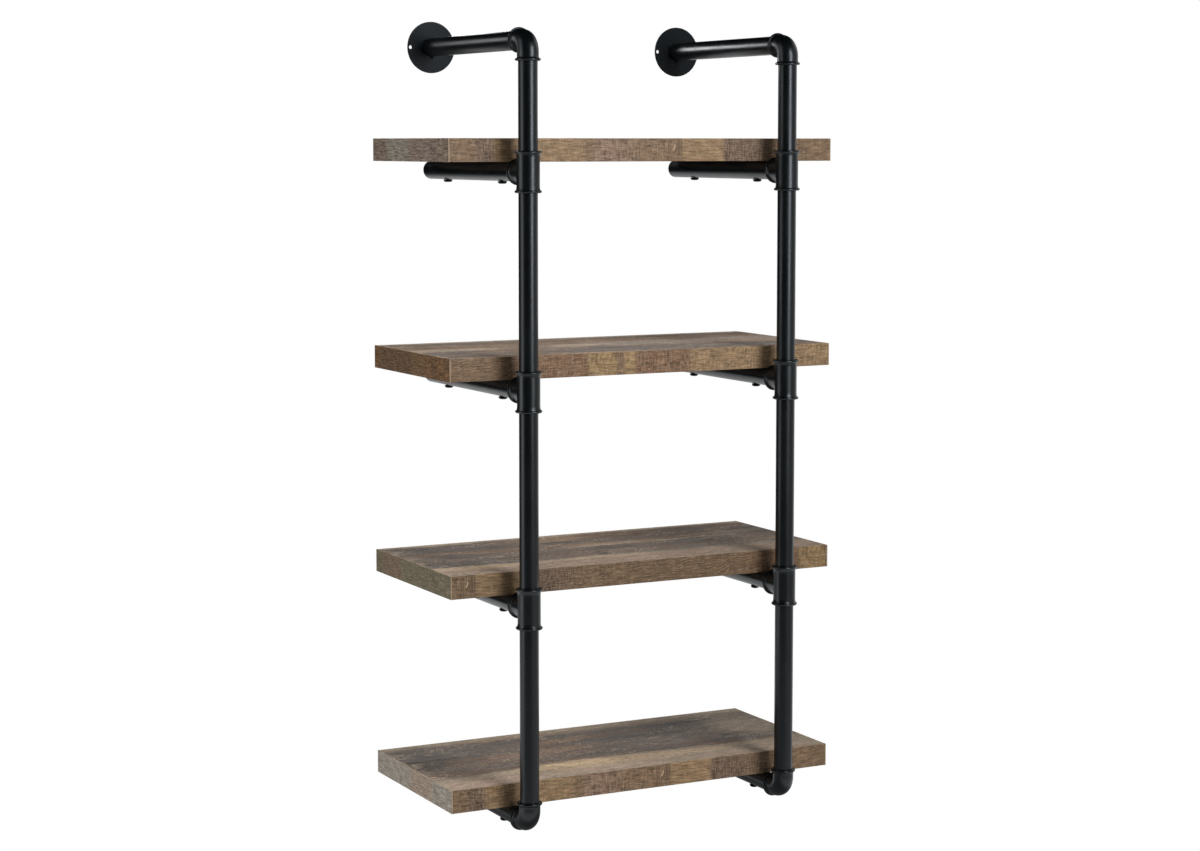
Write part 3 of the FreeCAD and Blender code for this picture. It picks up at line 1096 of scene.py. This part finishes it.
@dataclass
class PipeSide:
    """One side of the pipe frame: wall flange, arm, elbow, uprights, tees, support tubes and their plugs.

    Attributes:
        side: "left" or "right", the first part of its solids' names.
        finishes: The shared finishes.
    """

    side: str
    finishes: Finishes

    def build(self) -> None:
        """Dresses the side's solids."""
        dress(self.side + "_wall_flange", self.finishes.plate)
        dress(self.side + "_flange_tack_welds", self.finishes.plate)
        dress(self.side + "_wall_arm", self.finishes.tube)
        dress(self.side + "_top_elbow", self.finishes.casting)
        for level in LEVELS:
            start = f"{self.side}_{level}_"
            dress(start + "upright", self.finishes.tube)
            dress(start + "support_tube", self.finishes.tube)
            dress(start + "end_cap", self.finishes.plug)
            dress(start + ("elbow" if level == LEVELS[-1] else "tee"), self.finishes.casting)


@dataclass(frozen=True)
class Softbox:
    """A soft lamp, which the camera doesn't see.

    Attributes:
        name: Its name.
        place: Its middle.
        target: The point that it faces.
        width: Its width.
        height: Its height.
        radiance: How bright its face is, where 1 is white.
        in_gloss: Whether glossy surfaces mirror it.
        in_matt: Whether it lights matt surfaces.
    """

    name: str
    place: tuple[float, float, float]
    target: tuple[float, float, float]
    width: float
    height: float
    radiance: float
    in_gloss: bool = True
    in_matt: bool = True

    def build(self) -> None:
        """Hangs the lamp."""
        data = bpy.data.lights.new(self.name, "AREA")
        data.shape, data.size, data.size_y = "RECTANGLE", self.width, self.height
        data.energy = self.radiance * math.pi * self.width * self.height
        lamp = bpy.data.objects.new(self.name, data)
        lamp.location = self.place
        lamp.rotation_euler = (Vector(self.target) - Vector(self.place)).to_track_quat("-Z", "Y").to_euler()
        lamp.visible_camera, lamp.visible_glossy, lamp.visible_diffuse = False, self.in_gloss, self.in_matt
        bpy.context.scene.collection.objects.link(lamp)
        log.info("lamp %s", self.name)


@dataclass(frozen=True)
class Flag:
    """A curved card, which keeps the white surround out of the gloss of the black pipes.

    Attributes:
        name: Its name.
        first: Where it starts round the shelf, in degrees to the right of straight out from the wall.
        last: Where it ends.
        radius: Distance of its lower edge from the middle of the wall line.
        low: Height of its lower edge.
        high: Height of its upper edge.
        shade: How dark it looks, as a hex value.
        upper_radius: The upper edge's distance, where it differs; a flat card has both edges level.
        parts: Flat parts that its curve is made of.
    """

    name: str
    first: float
    last: float
    radius: float
    low: float
    high: float
    shade: str
    upper_radius: float | None = None
    parts: int = 12

    def build(self) -> None:
        """Stands the card up; only reflections see it."""
        points, faces = [], []
        for i in range(self.parts + 1):
            turn = math.radians(self.first + (self.last - self.first) * i / self.parts)
            for radius, z in ((self.radius, self.low), (self.upper_radius or self.radius, self.high)):
                points.append((radius * math.sin(turn), -radius * math.cos(turn), z))
            if i:
                faces.append((2 * i - 2, 2 * i, 2 * i + 1, 2 * i - 1))
        data = bpy.data.meshes.new(self.name)
        data.from_pydata(points, [], faces)
        material, tree = new_material(self.name + "_paper")
        paper = add_node(tree, "Emission", {"Color": linear(self.shade), "Strength": 1.0})
        add_node(tree, "OutputMaterial", {"Surface": paper})
        material.cycles.emission_sampling = "NONE"
        data.materials.append(material)
        card = bpy.data.objects.new(self.name, data)
        card.visible_camera = card.visible_diffuse = card.visible_shadow = card.visible_transmission = False
        bpy.context.scene.collection.objects.link(card)
        log.info("stage %s", self.name)


LAMPS = (
    Softbox("key_softbox", (0.455, -2.26, 0.14), (0.0, -0.43, -0.15), 0.60, 1.62, 9.6, in_matt=False),
    Softbox("front_softbox", (0.98, -4.16, 0.10), (0.0, -0.40, -0.50), 1.70, 2.20, 4.0, in_gloss=False),
    Softbox("upper_front_softbox", (0.95, -4.28, 2.30), (0.0, -0.40, -0.60), 1.7, 1.6, 20.0, in_gloss=False),
    Softbox("left_softbox", (-2.35, -0.05, -0.60), (0.0, -0.30, -0.60), 1.00, 1.90, 1.2),
    Softbox("left_fill", (-3.30, -0.35, 1.05), (-0.4, -0.20, -0.70), 1.20, 1.60, 13.0, in_gloss=False),
    Softbox("right_arm_strip", (-0.018, 0.34, 0.10), (0.269, -0.25, 0.0), 0.21, 0.16, 9.5, in_matt=False),
    Softbox("left_arm_strip", (-0.605, 0.35, 0.125), (-0.269, -0.25, 0.0), 0.19, 0.20, 2.8, in_matt=False),
    Softbox("top_softbox", (-0.2, -1.2, 2.0), (0.0, -0.3, -0.6), 1.60, 1.20, 2.2, in_gloss=False),
    Softbox("low_fill", (0.1, -3.2, -1.6), (0.0, -0.40, -1.2), 1.80, 1.20, 0.25, in_gloss=False),
)
CARDS = (
    Flag("front_black_card", -84.0, 2.0, 4.2, -2.4, 3.0, "#0C0C0C"),
    Flag("right_grey_card", 2.0, 80.0, 4.3, -2.4, 3.0, "#A9A9A9"),
    Flag("back_right_black_card", 114.0, 178.0, 4.0, 0.15, 4.0, "#0C0C0C"),
    Flag("back_left_black_card", 178.0, 242.0, 4.0, -1.9, 4.0, "#0C0C0C"),
    Flag("tube_end_card", 105.0, 255.0, 0.05, -0.15, -0.15, "#0C0C0C", 0.45),
    Flag("ceiling_black_card", 0.0, 360.0, 0.05, 3.0, 3.0, "#0C0C0C", 4.2),
    Flag("under_black_card", -110.0, 110.0, 0.05, -1.52, -1.52, "#7A7A7A", 0.60),
)


@dataclass(frozen=True)
class Studio:
    """A white room: plain floor, white surround, soft lamps and the camera.

    Attributes:
        floor_height: Height of the floor in the part's frame.
        floor_size: Width of the floor.
        shadow_near: Distance along the floor up to which the shelf's shadow shows most.
        shadow_far: Distance from which on the floor is as white as the surround.
        floor_white: Share of plain white in the floor's look near the shelf, which keeps the shadow soft.
        surround: Strength of the white surround as light on matt surfaces.
        camera_place: The camera's place.
        heading: How far it looks to the right of straight at the wall, in degrees.
        pitch: How far it looks down, in degrees.
        lens: Focal length in millimetres.
        sensor: Width of the sensor in millimetres.
        shift: Vertical shift, as a share of the picture's width.
        clip: The nearest and the furthest distance that it shows.
    """

    floor_height: float = -3.0
    floor_size: float = 24.0
    shadow_near: float = 1.0
    shadow_far: float = 3.2
    floor_white: float = 0.7
    surround: float = 0.12
    camera_place: tuple[float, float, float] = (-2.2199, -4.4974, -0.1833)
    heading: float = 27.254
    pitch: float = 5.021
    lens: float = 75.853
    sensor: float = 36.0
    shift: float = -0.05
    clip: tuple[float, float] = (0.05, 60.0)

    def build(self) -> None:
        """Sets up the room."""
        self._surround()
        self._floor()
        for item in LAMPS + CARDS:
            item.build()
        self._camera()

    def _surround(self) -> None:
        """Makes the white surround, which camera, glossy and transmission rays see at a strength of one."""
        world = bpy.data.worlds.new("white_surround")
        bpy.context.scene.world = world
        world.use_nodes = True
        tree = world.node_tree
        tree.nodes.clear()
        light = add_node(tree, "Background", {"Color": WHITE, "Strength": self.surround})
        white = add_node(tree, "Background", {"Color": WHITE, "Strength": 1.0})
        both = add_node(tree, "MixShader", {0: self._seen(tree), 1: light, 2: white})
        add_node(tree, "OutputWorld", {"Surface": both})

    def _seen(self, tree: Tree) -> Source:
        """Says whether a ray shows the room directly, in a reflection or through glass.

        Args:
            tree: The node tree that asks.

        Returns:
            One for such a ray, and zero for one that lights a matt surface.
        """
        rays = add_node(tree, "LightPath")
        seen = rays.outputs["Is Camera Ray"]
        for ray in ("Is Glossy Ray", "Is Transmission Ray"):
            seen = add_node(tree, "Math", {0: seen, 1: rays.outputs[ray]}, operation="MAXIMUM")
        return seen

    def _floor(self) -> None:
        """Lays the pale floor: it keeps the shelf's shadow near it and runs out into the white surround."""
        half, height = self.floor_size / 2, self.floor_height
        data = bpy.data.meshes.new("floor")
        corners = [(-half, -half, height), (half, -half, height), (half, half, height), (-half, half, height)]
        data.from_pydata(corners, [], [(0, 1, 2, 3)])
        floor = bpy.data.objects.new("floor", data)
        bpy.context.scene.collection.objects.link(floor)
        material, tree = new_material("matt_white_floor")
        place = add_node(tree, "NewGeometry").outputs["Position"]
        away = add_node(tree, "VectorMath", {0: place, 1: (0.0, -0.2, height)}, operation="DISTANCE")
        run_out = add_node(
            tree, "MapRange", {0: away, 1: self.shadow_near, 2: self.shadow_far, 3: self.floor_white, 4: 1.0},
            interpolation_type="SMOOTHSTEP")
        share = add_node(tree, "Math", {0: self._seen(tree), 1: run_out}, operation="MULTIPLY")
        matt = add_node(tree, "BsdfDiffuse", {"Color": linear("#F4F4F4")})
        white = add_node(tree, "Emission", {"Color": WHITE, "Strength": 1.0})
        both = add_node(tree, "MixShader", {0: share, 1: matt, 2: white})
        add_node(tree, "OutputMaterial", {"Surface": both})
        material.cycles.emission_sampling = "NONE"
        data.materials.append(material)
        log.info("stage floor")

    def _camera(self) -> None:
        """Sets the camera at the photograph's place."""
        data = bpy.data.cameras.new("camera")
        data.sensor_width, data.lens, data.shift_y = self.sensor, self.lens, self.shift
        data.clip_start, data.clip_end = self.clip
        camera = bpy.data.objects.new("camera", data)
        camera.location = self.camera_place
        camera.rotation_euler = (math.radians(90 - self.pitch), 0.0, math.radians(-self.heading))
        bpy.context.scene.collection.objects.link(camera)
        bpy.context.scene.camera = camera
        log.info("camera set")


def main() -> None:
    """Builds the bookshelf and its studio."""
    logging.basicConfig(level=logging.INFO, format="%(message)s")
    bpy.context.scene.view_settings.view_transform = "Standard"
    finishes = Finishes()
    # Each board's lightness values are partly the print's tone and partly painted light on that board.
    for shelf in (
        Shelf(
            "top", finishes, front_roll_mm=-56, front_tone_and_painted_light=0.81, end_colourfulness=0.75,
            end_tone_and_painted_light=0.65, end_contrast=1.5, face_tone_and_painted_light=1.0, print_along_mm=3000),
        Shelf(
            "upper_middle", finishes, front_roll_mm=826, front_tone_and_painted_light=0.87, end_colourfulness=1.2,
            end_tone_and_painted_light=0.60, end_contrast=1.7, face_tone_and_painted_light=1.4, print_along_mm=2000),
        Shelf(
            "lower_middle", finishes, front_roll_mm=369, front_tone_and_painted_light=0.74, end_colourfulness=0.9,
            end_tone_and_painted_light=0.75, end_contrast=0.95, face_tone_and_painted_light=1.12, print_along_mm=1000),
        Shelf(
            "bottom", finishes, front_roll_mm=-34, front_tone_and_painted_light=0.86, end_colourfulness=0.68,
            end_tone_and_painted_light=1.16, end_contrast=0.95, face_tone_and_painted_light=1.0, print_along_mm=0),
    ):
        shelf.build()
    for side in ("left", "right"):
        PipeSide(side, finishes).build()
    Studio().build()


if __name__ == "__main__":
    main()
